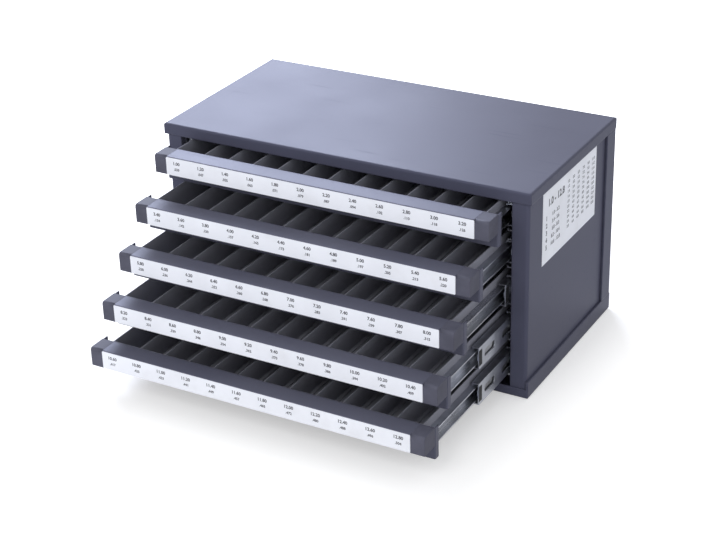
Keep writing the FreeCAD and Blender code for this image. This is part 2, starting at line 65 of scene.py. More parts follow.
class Field:
    """A number that varies over a surface, written as plain arithmetic."""

    def __init__(self, nodes: "Nodes", socket: bpy.types.NodeSocket) -> None:
        """Wraps one output socket of a node tree."""
        self.nodes = nodes
        self.socket = socket

    def _maths(self, operation: str, first: Input, second: Input) -> "Field":
        """Adds one Math node for an operator."""
        made = self.nodes.node("ShaderNodeMath", {"operation": operation},
                               {0: first, 1: second})
        return Field(self.nodes, made.outputs[0])

    def __add__(self, other: Input) -> "Field":
        """Adds a number or another field."""
        return self._maths("ADD", self, other)

    def __radd__(self, other: Input) -> "Field":
        """Adds this field to a number."""
        return self._maths("ADD", other, self)

    def __sub__(self, other: Input) -> "Field":
        """Takes a number or another field away."""
        return self._maths("SUBTRACT", self, other)

    def __rsub__(self, other: Input) -> "Field":
        """Takes this field away from a number."""
        return self._maths("SUBTRACT", other, self)

    def __mul__(self, other: Input) -> "Field":
        """Multiplies by a number or another field."""
        return self._maths("MULTIPLY", self, other)

    def __rmul__(self, other: Input) -> "Field":
        """Multiplies a number by this field."""
        return self._maths("MULTIPLY", other, self)

    def over(self, low: float, high: float) -> "Field":
        """Spreads the stretch from low to high over 0 to 1, and cuts off the rest."""
        made = self.nodes.node("ShaderNodeMapRange", {"clamp": True},
                               {"Value": self, "From Min": low, "From Max": high})
        return Field(self.nodes, made.outputs[0])


class Nodes:
    """An emptied node tree that is filled node by node."""

    def __init__(self, tree: bpy.types.NodeTree) -> None:
        """Empties a node tree."""
        self.tree = tree
        self.tree.nodes.clear()

    def node(self, kind: str, settings: dict[str, Any] | None = None,
             inputs: dict[str | int, Input] | None = None) -> bpy.types.Node:
        """Adds a node, sets it up and feeds its sockets.

        Args:
            kind: The node's Blender type.
            settings: Its properties, set before its sockets.
            inputs: Values, sockets or fields by the socket's name or number.

        Returns:
            The new node.
        """
        made = self.tree.nodes.new(kind)
        for key, value in (settings or {}).items():
            setattr(made, key, value)
        self.connect(made, inputs or {})
        return made

    def connect(self, node: bpy.types.Node, inputs: dict[str | int, Input]) -> None:
        """Sets or links sockets of a node.

        Args:
            node: The node.
            inputs: Values, sockets or fields by the socket's name or number.
        """
        for key, value in inputs.items():
            source = value.socket if isinstance(value, Field) else value
            if isinstance(source, bpy.types.NodeSocket):
                self.tree.links.new(source, node.inputs[key])
            elif isinstance(source, tuple) and node.inputs[key].type == "RGBA":
                node.inputs[key].default_value = (*source, 1.0)
            else:
                node.inputs[key].default_value = source

    def rays(self) -> tuple[Field, Field]:
        """Tells the rays that show the surroundings from those that only light the object.

        Returns:
            A field that is 1 for camera rays, and one that is 1 for rays that mirror
            the surroundings or show them through glass.
        """
        path = self.node("ShaderNodeLightPath")
        camera, glossy, through = (Field(self, path.outputs[f"Is {kind} Ray"])
                                   for kind in ("Camera", "Glossy", "Transmission"))
        return camera, (glossy + through).over(0.0, 1.0)


class Shading(Nodes):
    """One material's nodes around a Principled shader, on Object coordinates."""

    def __init__(self, name: str) -> None:
        """Starts a material with a bare Principled shader.

        Args:
            name: The material's name.
        """
        self.material = bpy.data.materials.new(name)
        self.material.use_nodes = True
        super().__init__(self.material.node_tree)
        self.surface = self.node("ShaderNodeBsdfPrincipled")
        self.output = self.node("ShaderNodeOutputMaterial", {},
                                {"Surface": self.surface.outputs[0]})
        self.place = self.node("ShaderNodeTexCoord").outputs["Object"]

    def feed(self, inputs: dict[str, Input]) -> None:
        """Sets or links sockets of the Principled shader."""
        self.connect(self.surface, inputs)

    def stretched(self, scale: Triple) -> bpy.types.NodeSocket:
        """Gives the place on the piece, stretched along the axes."""
        return self.node("ShaderNodeMapping", {},
                         {"Vector": self.place, "Scale": scale}).outputs[0]

    def noise(self, scale: float, detail: float = 3.0,
              vector: bpy.types.NodeSocket | None = None) -> Field:
        """Gives a cloudy field with a grain of the given fineness."""
        made = self.node("ShaderNodeTexNoise", {},
                         {"Vector": vector or self.place, "Scale": scale, "Detail": detail})
        return Field(self, made.outputs[0])

    def edges(self, radius: float) -> tuple[bpy.types.NodeSocket, Field]:
        """Gives the normal with softened edges, and how near an edge a point is.

        Args:
            radius: How far the softening reaches, in metres.

        Returns:
            The softened normal, and a field that is 1 on a sharp edge.
        """
        soft = self.node("ShaderNodeBevel", {"samples": 6}, {"Radius": radius}).outputs[0]
        flat = self.node("ShaderNodeNewGeometry").outputs["Normal"]
        lean = self.node("ShaderNodeVectorMath", {"operation": "DOT_PRODUCT"},
                         {0: soft, 1: flat}).outputs["Value"]
        return soft, (1.0 - Field(self, lean)).over(0.02, 0.25)

    def facing_up(self) -> Field:
        """Gives a field that is 1 where the surface faces up.

        Returns:
            The field.
        """
        normal = self.node("ShaderNodeNewGeometry").outputs["Normal"]
        split = self.node("ShaderNodeSeparateXYZ", {}, {0: normal})
        return Field(self, split.outputs["Z"]).over(0.6, 0.95)

    def blend(self, amount: Field, start: Input, end: Input) -> bpy.types.NodeSocket:
        """Mixes two colours by a field."""
        made = self.node("ShaderNodeMix", {"data_type": "RGBA"}, {0: amount, 6: start, 7: end})
        return made.outputs[2]

    def clouded(self, cloud: Field, colour: Colour, tones: Span) -> bpy.types.NodeSocket:
        """Varies a colour between its darkest and its lightest tone, given as factors."""
        dark, light = (toned(colour, tone) for tone in tones)
        return self.blend(cloud.over(0.3, 0.7), dark, light)

    def bump(self, height: Field, depth: float,
             normal: bpy.types.NodeSocket | None = None) -> bpy.types.NodeSocket:
        """Dents the surface by a height field.

        Args:
            height: The field.
            depth: How deep its full range goes, in metres.
            normal: The normal to start from, if not the surface's own.

        Returns:
            The dented normal.
        """
        inputs: dict[str | int, Input] = {"Height": height, "Distance": depth, "Strength": 1.0}
        if normal is not None:
            inputs["Normal"] = normal
        return self.node("ShaderNodeBump", {}, inputs).outputs[0]


def toned(colour: Colour, factor: float) -> Colour:
    """Makes a colour lighter or darker by a factor."""
    return tuple(factor * part for part in colour)


# Finishes: a grain is a noise's fineness per metre, and relief a bump's depth

@dataclass(frozen=True)
class SlatePaint:
    """Baked semi-gloss enamel on folded sheet, worn pale along its edges."""

    name: str
    colour: Colour = (0.070, 0.071, 0.104)
    tones: Span = (0.94, 1.06)
    worn: Colour = (0.15, 0.15, 0.20)
    wear_share: float = 0.4
    sheen: Colour = (0.58, 0.64, 1.0)
    gloss: float = 1.27
    roughness: float = 0.44
    edge_radius: float = 1.6 * MM
    dust: float = 0.06
    dust_colour: Colour = (0.30, 0.30, 0.31)
    cloud_grain: float = 9.0
    peel_grain: float = 900.0
    speck_grain: float = 2600.0
    chip_grain: float = 130.0
    scuff_stretch: Triple = (14.0, 240.0, 240.0)
    relief: float = 0.026 * MM

    def make(self) -> bpy.types.Material:
        """Builds the paint's nodes.

        Returns:
            The paint.
        """
        paint = Shading(self.name)
        soft, edge = paint.edges(self.edge_radius)
        cloud = paint.noise(self.cloud_grain, 4.0)
        peel = paint.noise(self.peel_grain, 2.0)
        specks = paint.noise(self.speck_grain, 1.0)
        scuffs = paint.noise(1.0, 3.0, paint.stretched(self.scuff_stretch)).over(0.66, 0.74)
        wear = (edge * paint.noise(self.chip_grain, 4.0).over(0.42, 0.68)).over(0.05, 0.6)
        dusty = paint.facing_up() * cloud.over(0.35, 0.75) * self.dust
        shade = paint.clouded(cloud, self.colour, self.tones)
        shade = paint.blend(dusty, shade, self.dust_colour)
        shade = paint.blend(wear * self.wear_share, shade, self.worn)
        height = peel * 0.7 + specks * 0.3 - wear * 0.6
        paint.feed({
            "Base Color": shade,
            "Roughness": self.roughness + (cloud - 0.5) * 0.10 + scuffs * 0.08 + dusty * 0.6,
            "Normal": paint.bump(height, self.relief, soft),
            "IOR": self.gloss,
            "Specular Tint": self.sheen,
        })
        return paint.material


@dataclass(frozen=True)
class ZincPlate:
    """Bright zinc-plated strip steel, drawn along the slide and lightly greased."""

    name: str
    colour: Colour = (0.54, 0.56, 0.62)
    tones: Span = (0.72, 1.0)
    roughness: float = 0.34
    edge_radius: float = 0.35 * MM
    grease_colour: Colour = (0.20, 0.18, 0.15)
    grease_share: float = 0.35
    grease_grain: float = 30.0
    grease_stretch: Triple = (1.0, 0.25, 1.0)
    draw_stretch: Triple = (1800.0, 25.0, 1800.0)
    cloud_grain: float = 55.0
    spangle_grain: float = 420.0
    relief: float = 0.012 * MM

    def make(self) -> bpy.types.Material:
        """Builds the plated steel's nodes.

        Returns:
            The plated steel.
        """
        steel = Shading(self.name)
        soft, edge = steel.edges(self.edge_radius)
        drawn = steel.noise(1.0, 4.0, steel.stretched(self.draw_stretch))
        cloud = steel.noise(self.cloud_grain, 4.0)
        spangle = steel.noise(self.spangle_grain, 2.0)
        smears = steel.noise(self.grease_grain, 3.0, steel.stretched(self.grease_stretch))
        grease = smears.over(0.52, 0.72)
        shade = steel.clouded(cloud, self.colour, self.tones)
        shade = steel.blend(grease * self.grease_share, shade, self.grease_colour)
        steel.feed({
            "Base Color": shade,
            "Metallic": 1.0,
            "Roughness": self.roughness + (drawn - 0.5) * 0.18 + (spangle - 0.5) * 0.1
            - grease * 0.08 - edge * 0.05,
            "Normal": steel.bump(drawn * 0.6 + spangle * 0.4, self.relief, soft),
        })
        return steel.material


@dataclass(frozen=True)
class MouldedPlastic:
    """Fine-grained moulded plastic, rubbed a little paler along its edges."""

    name: str
    colour: Colour
    roughness: float = 0.5
    tones: Span = (0.88, 1.12)
    rubbed_tone: float = 1.5
    rubbed_share: float = 0.6
    gloss: float = 1.22
    edge_radius: float = 0.5 * MM
    cloud_grain: float = 60.0
    skin_grain: float = 1500.0
    rub_grain: float = 260.0
    relief: float = 0.02 * MM

    def make(self) -> bpy.types.Material:
        """Builds the plastic's nodes.

        Returns:
            The plastic.
        """
        plastic = Shading(self.name)
        soft, edge = plastic.edges(self.edge_radius)
        skin = plastic.noise(self.skin_grain, 3.0)
        cloud = plastic.noise(self.cloud_grain, 3.0)
        rubbed = (edge * plastic.noise(self.rub_grain, 3.0).over(0.4, 0.7)).over(0.05, 0.7)
        shade = plastic.clouded(cloud, self.colour, self.tones)
        shade = plastic.blend(rubbed * self.rubbed_share, shade,
                              toned(self.colour, self.rubbed_tone))
        plastic.feed({
            "Base Color": shade,
            "Roughness": self.roughness + (cloud - 0.5) * 0.12 - rubbed * 0.12,
            "Normal": plastic.bump(skin, self.relief, soft),
            "IOR": self.gloss,
        })
        return plastic.material


@dataclass(frozen=True)
class WhiteCard:
    """Smooth printed card, a little grey where fingers touch it."""

    name: str
    colour: Colour = (0.86, 0.87, 0.92)
    tones: Span = (0.93, 1.0)
    touched_colour: Colour = (0.55, 0.54, 0.53)
    touched_share: float = 0.2
    roughness: float = 0.42
    gloss: float = 1.45
    cloud_grain: float = 26.0
    fibre_grain: float = 1400.0
    touch_grain: float = 45.0
    relief: float = 0.008 * MM

    def make(self) -> bpy.types.Material:
        """Builds the card's nodes.

        Returns:
            The card's material.
        """
        stock = Shading(self.name)
        cloud = stock.noise(self.cloud_grain, 4.0)
        fibre = stock.noise(self.fibre_grain, 3.0)
        touched = stock.noise(self.touch_grain, 5.0).over(0.55, 0.8)
        shade = stock.clouded(cloud, self.colour, self.tones)
        shade = stock.blend(touched * self.touched_share, shade, self.touched_colour)
        stock.feed({
            "Base Color": shade,
            "Roughness": self.roughness + (fibre - 0.5) * 0.1 + touched * 0.1,
            "Normal": stock.bump(fibre, self.relief),
            "IOR": self.gloss,
        })
        return stock.material


@dataclass(frozen=True)
class PrintInk:
    """Dry print, not quite even."""

    name: str
    colour: Colour = (0.06, 0.06, 0.07)
    pale_tone: float = 1.6
    roughness: float = 0.55
    speck_grain: float = 2500.0
    relief: float = 0.004 * MM

    def make(self) -> bpy.types.Material:
        """Builds the ink's nodes.

        Returns:
            The ink.
        """
        ink = Shading(self.name)
        specks = ink.noise(self.speck_grain, 3.0)
        ink.feed({
            "Base Color": ink.blend(specks.over(0.4, 0.8), self.colour,
                                    toned(self.colour, self.pale_tone)),
            "Roughness": self.roughness + (specks - 0.5) * 0.2,
            "Normal": ink.bump(specks, self.relief),
        })
        return ink.material


@dataclass(frozen=True)
class BallSteel:
    """Polished bearing steel under a film of oil."""

    name: str
    colour: Colour = (0.66, 0.66, 0.68)
    film_colour: Colour = (0.48, 0.46, 0.43)
    roughness: float = 0.10
    film_grain: float = 700.0
    relief: float = 0.003 * MM

    def make(self) -> bpy.types.Material:
        """Builds the balls' nodes.

        Returns:
            The steel.
        """
        steel = Shading(self.name)
        film = steel.noise(self.film_grain, 3.0)
        steel.feed({
            "Base Color": steel.blend(film.over(0.4, 0.75), self.colour, self.film_colour),
            "Metallic": 1.0,
            "Roughness": self.roughness + film * 0.12,
            "Normal": steel.bump(film, self.relief),
        })
        return steel.material


@dataclass
class Finishes:
    """Every finish on the object, each made once."""

    case: bpy.types.Material = field(default_factory=lambda: SlatePaint(
        "case_enamel", edge_radius=2.0 * MM).make())
    inner: bpy.types.Material = field(default_factory=lambda: SlatePaint(
        "inner_enamel", colour=(0.09, 0.09, 0.115), roughness=0.45, dust=0.05).make())
    front: bpy.types.Material = field(default_factory=lambda: SlatePaint(
        "front_enamel", colour=(0.090, 0.091, 0.124), gloss=1.31).make())
    tray: bpy.types.Material = field(default_factory=lambda: SlatePaint(
        "tray_enamel", colour=(0.24, 0.24, 0.275), roughness=0.42, dust=0.3).make())
    divider: bpy.types.Material = field(default_factory=lambda: SlatePaint(
        "divider_enamel", colour=(0.30, 0.30, 0.34), roughness=0.42).make())
    slide: bpy.types.Material = field(default_factory=lambda: ZincPlate("zinc_plate").make())
    cage: bpy.types.Material = field(default_factory=lambda: ZincPlate(
        "cage_strip", colour=(0.46, 0.47, 0.49), roughness=0.36).make())
    cap: bpy.types.Material = field(default_factory=lambda: MouldedPlastic(
        "cap_plastic", (0.088, 0.088, 0.117), 0.55).make())
    bumper: bpy.types.Material = field(default_factory=lambda: MouldedPlastic(
        "bumper_plastic", (0.018, 0.018, 0.02), 0.42).make())
    card: bpy.types.Material = field(default_factory=lambda: WhiteCard("label_card").make())
    ink: bpy.types.Material = field(default_factory=lambda: PrintInk("print_ink").make())
    ball: bpy.types.Material = field(default_factory=lambda: BallSteel("ball_steel").make())


class Slot(Enum):
    """Names of the record's material slots; nothing in the script uses them."""

    CAP = "cap_plastic"
    LABEL = "label_card"
    SLIDE = "slide_steel"
    CAGE = "cage_steel"


# Building pieces

def show(name: str, data: bpy.types.ID) -> bpy.types.Object:
    """Adds an object to the scene, at the origin.

    Args:
        name: The object's name.
        data: Its mesh, curve, lamp or camera.

    Returns:
        The object.
    """
    made = bpy.data.objects.new(name, data)
    bpy.context.scene.collection.objects.link(made)
    return made


def finish_piece(mesh: bmesh.types.BMesh, name: str, body: str,
                 finish: bpy.types.Material) -> bpy.types.Object:
    """Turns a finished bmesh into a piece that rides on a body.

    Args:
        mesh: The bmesh, in metres in the object's frame. It is freed.
        name: The piece's name.
        body: The body that it moves with.
        finish: Its material.

    Returns:
        The piece's object.
    """
    data = bpy.data.meshes.new(name)
    mesh.to_mesh(data)
    mesh.free()
    piece = show(name, data)
    data.materials.append(finish)
    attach(piece, body)
    log.info("%s: %d faces on %s", name, len(data.polygons), body)
    return piece


def dress(node: str, finish: bpy.types.Material) -> None:
    """Gives a CAD node its finish.

    Args:
        node: The node's name.
        finish: Its material.
    """
    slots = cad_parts[node].data.materials
    slots.clear()
    slots.append(finish)


def join_mesh(target: bmesh.types.BMesh, source: bmesh.types.BMesh) -> None:
    """Moves one bmesh's geometry into another.

    Args:
        target: The bmesh that grows.
        source: The bmesh that is added to it. It is freed.
    """
    data = bpy.data.meshes.new("joined")
    source.to_mesh(data)
    source.free()
    target.from_mesh(data)
    bpy.data.meshes.remove(data)


def picked(made: dict[str, list[Any]], kind: type) -> list[Any]:
    """Picks the vertices, edges or faces out of an operator's result."""
    return [item for item in made["geom"] if isinstance(item, kind)]


def round_edges(mesh: bmesh.types.BMesh, edges: list[bmesh.types.BMEdge], radius: float,
                segments: int) -> list[bmesh.types.BMFace]:
    """Bevels edges round.

    Args:
        mesh: The bmesh.
        edges: Its edges to round.
        radius: The radius along them.
        segments: Steps round each edge.

    Returns:
        The new faces.
    """
    made = bmesh.ops.bevel(mesh, geom=edges, offset=radius, affect="EDGES",
                           segments=segments, profile=0.5, material=-1)
    return made["faces"]


def block(low: Vector, high: Vector, bevel: float = 0.0, segments: int = 2) -> bmesh.types.BMesh:
    """Makes a block between two corners, with its edges rounded.

    Args:
        low: The lowest corner.
        high: The highest corner.
        bevel: The radius along its edges.
        segments: Steps round each edge.

    Returns:
        The block.
    """
    mesh = bmesh.new()
    size = high - low
    place = Matrix.Translation((low + high) / 2) @ Matrix.Diagonal((*size, 1.0))
    bmesh.ops.create_cube(mesh, size=1.0, matrix=place)
    if bevel:
        round_edges(mesh, mesh.edges[:], bevel, segments)
    return mesh


def rounded_card(low: Vector, high: Vector, corner: float) -> bmesh.types.BMesh:
    """Makes an upright card with rounded corners that faces the front.

    Args:
        low: The lowest corner.
        high: The highest corner.
        corner: The radius of its corners.

    Returns:
        The card.
    """
    mesh = bmesh.new()
    middle = (low + high) / 2
    turn = Matrix.Rotation(QUARTER_TURN, 4, "X")
    shape = Matrix.Diagonal((high.x - low.x, high.z - low.z, 1.0, 1.0))
    bmesh.ops.create_grid(mesh, x_segments=1, y_segments=1, size=0.5,
                          matrix=Matrix.Translation((middle.x, low.y, middle.z)) @ turn @ shape)
    bmesh.ops.bevel(mesh, geom=mesh.verts[:], offset=corner, affect="VERTICES",
                    segments=4, profile=0.5, material=-1)
    grown = bmesh.ops.extrude_face_region(mesh, geom=mesh.faces[:])
    bmesh.ops.translate(mesh, vec=(0.0, high.y - low.y, 0.0),
                        verts=picked(grown, bmesh.types.BMVert))
    bmesh.ops.recalc_face_normals(mesh, faces=mesh.faces)
    return mesh


def mirror_across(mesh: bmesh.types.BMesh) -> None:
    """Adds the mirror image of a right-hand mesh on the left of the case.

    Args:
        mesh: The bmesh that grows.
    """
    copy = bmesh.ops.duplicate(mesh, geom=mesh.verts[:] + mesh.edges[:] + mesh.faces[:])
    bmesh.ops.scale(mesh, vec=(-1.0, 1.0, 1.0), verts=picked(copy, bmesh.types.BMVert))
    bmesh.ops.reverse_faces(mesh, faces=picked(copy, bmesh.types.BMFace))


@dataclass
class Rivet:
    """A domed rivet head that stands on a face."""

    radius: float = 2.2 * MM
    height: float = 0.7 * MM
    sides: int = 16
    rings: int = 4

    def mesh(self, place: Vector, outwards: Vector) -> bmesh.types.BMesh:
        """Spins the head round its axis and sets it on the face.

        Args:
            place: The point on the face under the head's middle.
            outwards: The direction away from the face.

        Returns:
            The head as a closed bmesh.
        """
        mesh = bmesh.new()
        turns = [QUARTER_TURN * (self.rings - step) / self.rings
                 for step in range(self.rings + 1)]
        rim = [mesh.verts.new((self.radius * math.cos(turn), 0.0, self.height * math.sin(turn)))
               for turn in turns]
        centre = mesh.verts.new((0.0, 0.0, 0.0))
        outline = [mesh.edges.new(pair) for pair in zip(rim, rim[1:] + [centre])]
        bmesh.ops.spin(mesh, geom=outline, cent=(0, 0, 0), axis=(0, 0, 1),
                       angle=math.tau, steps=self.sides, use_merge=True)
        bmesh.ops.remove_doubles(mesh, verts=mesh.verts, dist=WELD)
        bmesh.ops.recalc_face_normals(mesh, faces=mesh.faces)
        turn = outwards.to_track_quat("Z", "Y").to_matrix().to_4x4()
        bmesh.ops.transform(mesh, matrix=Matrix.Translation(place) @ turn, verts=mesh.verts)
        for face in mesh.faces:
            face.smooth = True
        return mesh


@dataclass
class Print:
    """Plain numbers printed on a card, gathered in one mesh."""

    thickness: float = 0.02 * MM
    stroke: float = 0.05
    capital: float = 0.7
    curve_steps: int = 3
    mesh: bmesh.types.BMesh = field(default_factory=bmesh.new)

    def write(self, words: str, height: float, place: Matrix) -> None:
        """Sets one line of figures on a card.

        Args:
            words: The figures.
            height: The height of a figure in metres.
            place: Where the line's centre goes, with X along it and Z off the card.
        """
        curve = bpy.data.curves.new("figures", "FONT")
        curve.body = words
        curve.size = height / self.capital
        curve.align_x = "CENTER"
        curve.align_y = "CENTER"
        curve.resolution_u = self.curve_steps
        curve.offset = self.stroke * height
        curve.extrude = self.thickness / 2
        holder = show("figures", curve)
        bpy.context.view_layer.update()
        ready = holder.evaluated_get(bpy.context.evaluated_depsgraph_get())
        data = bpy.data.meshes.new_from_object(ready)
        data.transform(place @ Matrix.Translation((0, 0, self.thickness / 2)))
        self.mesh.from_mesh(data)
        bpy.data.meshes.remove(data)
        bpy.data.objects.remove(holder)
        bpy.data.curves.remove(curve)

    def closed(self) -> bmesh.types.BMesh:
        """Joins the figures' faces at their rims and turns them all outwards.

        Returns:
            The figures as closed shells.
        """
        bmesh.ops.remove_doubles(self.mesh, verts=self.mesh.verts, dist=WELD)
        bmesh.ops.recalc_face_normals(self.mesh, faces=self.mesh.faces)
        return self.mesh


@dataclass(frozen=True)
class SizeRun:
    """The sizes that the compartments hold, in millimetres from the top drawer down."""

    first: float = 1.0
    step: float = 0.2
    compartments: int = 12

    def size(self, place: int) -> float:
        """Gives the size at a place in the run, counted from 0."""
        return self.first + self.step * place

    def places(self, drawer: int) -> range:
        """Gives the places that one drawer holds."""
        return range(self.compartments * (drawer - 1), self.compartments * drawer)


# The sub-assemblies

@dataclass
class CaseShell:
    """The fixed sheet metal, with the card on its side."""

    finishes: Finishes
    run: SizeRun = SizeRun()
    side_face: float = 197.6 * MM
    card_front: float = -70.6 * MM
    card_back: float = 57.4 * MM
    card_foot: float = 126.5 * MM
    card_top: float = 200.0 * MM
    card_thickness: float = 0.2 * MM
    card_edge: float = 0.05 * MM
    title_height: float = 7.0 * MM
    title_back: float = 31.0 * MM
    title_down: float = 14.0 * MM
    row_figure: float = 4.6 * MM
    row_back: float = 9.0 * MM
    range_figure: float = 3.6 * MM
    range_back: float = 30.0 * MM
    rows_down: float = 28.0 * MM
    row_pitch: float = 7.5 * MM
    size_figure: float = 2.8 * MM
    sizes_back: float = 60.0 * MM
    sizes_down: float = 10.0 * MM
    column_pitch: float = 12.0 * MM
    size_pitch: float = 5.2 * MM
    column_length: int = 10

    def build(self) -> None:
        """Dresses the case and adds its small parts."""
        for node in ("top_pan", "base_pan", "back_panel", "side_panel_left", "side_panel_right"):
            dress(node, self.finishes.case)
        for node in ("slide_panel_left", "slide_panel_right"):
            dress(node, self.finishes.inner)
        dress("outer_members", self.finishes.slide)
        self.put_card()
        self.print_chart()

    def put_card(self) -> None:
        """Sticks a card on the right-hand side."""
        low = Vector((self.side_face, self.card_front, self.card_foot))
        high = Vector((self.side_face + self.card_thickness, self.card_back, self.card_top))
        finish_piece(block(low, high, self.card_edge, 1), "side_card", "case",
                     self.finishes.card)

    def print_chart(self) -> None:
        """Prints a plain chart on the card: each drawer's range, and every size."""
        chart = Print()
        face = self.side_face + self.card_thickness
        off_card = (Matrix.Rotation(QUARTER_TURN, 4, "Z")
                    @ Matrix.Rotation(QUARTER_TURN, 4, "X"))

        def write(words: str, height: float, back: float, down: float) -> None:
            """Writes at a place measured back and down from the card's top front corner."""
            place = Vector((face, self.card_front + back, self.card_top - down))
            chart.write(words, height, Matrix.Translation(place) @ off_card)

        def span(first: int, last: int) -> str:
            """Words the range between two places in the run."""
            return f"{self.run.size(first):.1f} - {self.run.size(last):.1f}"

        last = self.run.places(DRAWERS[-1])[-1]
        write(span(0, last), self.title_height, self.title_back, self.title_down)
        for row, drawer in enumerate(DRAWERS):
            places = self.run.places(drawer)
            down = self.rows_down + self.row_pitch * row
            write(f"{drawer}", self.row_figure, self.row_back, down)
            write(span(places[0], places[-1]), self.range_figure, self.range_back, down)
        for place in range(last + 1):
            column, line = divmod(place, self.column_length)
            write(f"{self.run.size(place):.1f}", self.size_figure,
                  self.sizes_back + self.column_pitch * column,
                  self.sizes_down + self.size_pitch * line)
        finish_piece(chart.closed(), "side_chart", "case", self.finishes.ink)


@dataclass
class DrawerParts:
    """Parts that every drawer has, told apart by the drawer's number."""

    number: int
    finishes: Finishes

    def named(self, stem: str) -> str:
        """Names this drawer's node, piece or body of a kind."""
        return f"{stem}_{self.number}"

    def box(self, stem: str) -> tuple[Vector, Vector]:
        """Gives the lowest and the highest corner of this drawer's node of a kind."""
        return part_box(self.named(stem))


@dataclass
class Drawer(DrawerParts):
    """One drawer: its tray, dividers, front panel, bar, caps and label."""

    run: SizeRun = SizeRun()
    upper_figure: float = 3.2 * MM
    lower_figure: float = 2.6 * MM
    upper_share: float = 0.70
    lower_share: float = 0.36
    card_corner: float = 0.8 * MM
    cap_round: float = 3.0 * MM
    cap_round_steps: int = 8
    cap_edge: float = 0.7 * MM
    cap_edge_steps: int = 3
    plug_length: float = 8.0 * MM
    plug_gap: float = 1.35 * MM
    plug_wall: float = 1.5 * MM
    plug_edge: float = 0.4 * MM
    rivet: Rivet = field(default_factory=Rivet)
    rivet_inset: float = 14.0 * MM
    slide_sheet: float = 1.2 * MM

    def build(self) -> None:
        """Dresses the drawer, moulds its caps, prints its label and rivets its slides."""
        for stem, finish in (
            ("tray", self.finishes.tray),
            ("dividers", self.finishes.divider),
            ("front_panel", self.finishes.front),
            ("front_bar", self.finishes.front),
            ("end_caps", self.finishes.cap),
            ("label_strip", self.finishes.card),
        ):
            dress(self.named(stem), finish)
        self.mould_caps()
        self.print_label()
        self.rivet_slides()

    def mould_caps(self) -> None:
        """Moulds the caps, rounded along their top front edge, and their plugs."""
        low, high = self.box("end_caps")
        bar_end = self.box("front_bar")[1].x
        cap = block(Vector((bar_end, low.y, low.z)), high)
        grip = [edge for edge in cap.edges
                if all(vert.co.y < low.y + NEAR and vert.co.z > high.z - NEAR
                       for vert in edge.verts)]
        for face in round_edges(cap, grip, self.cap_round, self.cap_round_steps):
            face.smooth = True
        corners = [edge for edge in cap.edges if edge.calc_face_angle() > SHARP
                   and any(vert.co.x > bar_end + NEAR for vert in edge.verts)]
        round_edges(cap, corners, self.cap_edge, self.cap_edge_steps)
        join_mesh(cap, self.plug(low, high, bar_end))
        mirror_across(cap)
        piece = finish_piece(cap, self.named("moulded_caps"), self.named("drawer"),
                             self.finishes.cap)
        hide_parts(self.named("end_caps"))

    def plug(self, low: Vector, high: Vector, bar_end: float) -> bmesh.types.BMesh:
        """Makes the hollow plug that holds the right-hand cap in the bar.

        Args:
            low: The lowest corner of the caps.
            high: The highest corner of the caps.
            bar_end: Where the bar ends.

        Returns:
            The plug.
        """
        inset = Vector((0, self.plug_gap, self.plug_gap))
        plug = block(Vector((bar_end - self.plug_length, low.y, low.z)) + inset,
                     Vector((bar_end + self.plug_wall, high.y, high.z)) - inset,
                     self.plug_edge)
        mouth = min(plug.faces, key=lambda face: face.calc_center_median().x)
        bmesh.ops.inset_region(plug, faces=[mouth], thickness=self.plug_wall,
                               use_even_offset=True)
        sunk = bmesh.ops.extrude_discrete_faces(plug, faces=[mouth])
        bmesh.ops.translate(plug, vec=(self.plug_length, 0, 0), verts=sunk["faces"][0].verts)
        bmesh.ops.recalc_face_normals(plug, faces=plug.faces)
        return plug

    def print_label(self) -> None:
        """Prints a size in millimetres over its size in inches at every compartment."""
        low, high = self.box("label_strip")
        tray_low, tray_high = self.box("tray")
        pitch = (tray_high.x - tray_low.x) / self.run.compartments
        off_card = Matrix.Rotation(QUARTER_TURN, 4, "X")
        marks = Print()
        face = low.y + marks.thickness
        strip = finish_piece(rounded_card(Vector((low.x, face, low.z)), high, self.card_corner),
                             self.named("label_card"), self.named("drawer"),
                             self.finishes.card)
        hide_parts(self.named("label_strip"))
        for step, spot in enumerate(self.run.places(self.number)):
            size = self.run.size(spot)
            across = tray_low.x + (step + 0.5) * pitch
            for words, figure, share in (
                (f"{size:.2f}", self.upper_figure, self.upper_share),
                (f".{round(size / INCH * 1000):03d}", self.lower_figure, self.lower_share),
            ):
                level = low.z + share * (high.z - low.z)
                place = Matrix.Translation((across, face, level))
                marks.write(words, figure, place @ off_card)
        finish_piece(marks.closed(), self.named("label_figures"), self.named("drawer"),
                     self.finishes.ink)

    def rivet_slides(self) -> None:
        """Rivets the drawer's channels to both sides of its tray."""
        low, high = self.box("drawer_members")
        web = self.box("tray")[1].x + self.slide_sheet
        heads = bmesh.new()
        for along in (low.y + self.rivet_inset, (low.y + high.y) / 2, high.y - self.rivet_inset):
            place = Vector((web, along, (low.z + high.z) / 2))
            join_mesh(heads, self.rivet.mesh(place, Vector((1, 0, 0))))
        mirror_across(heads)
        finish_piece(heads, self.named("slide_rivets"), self.named("drawer"),
                     self.finishes.slide)


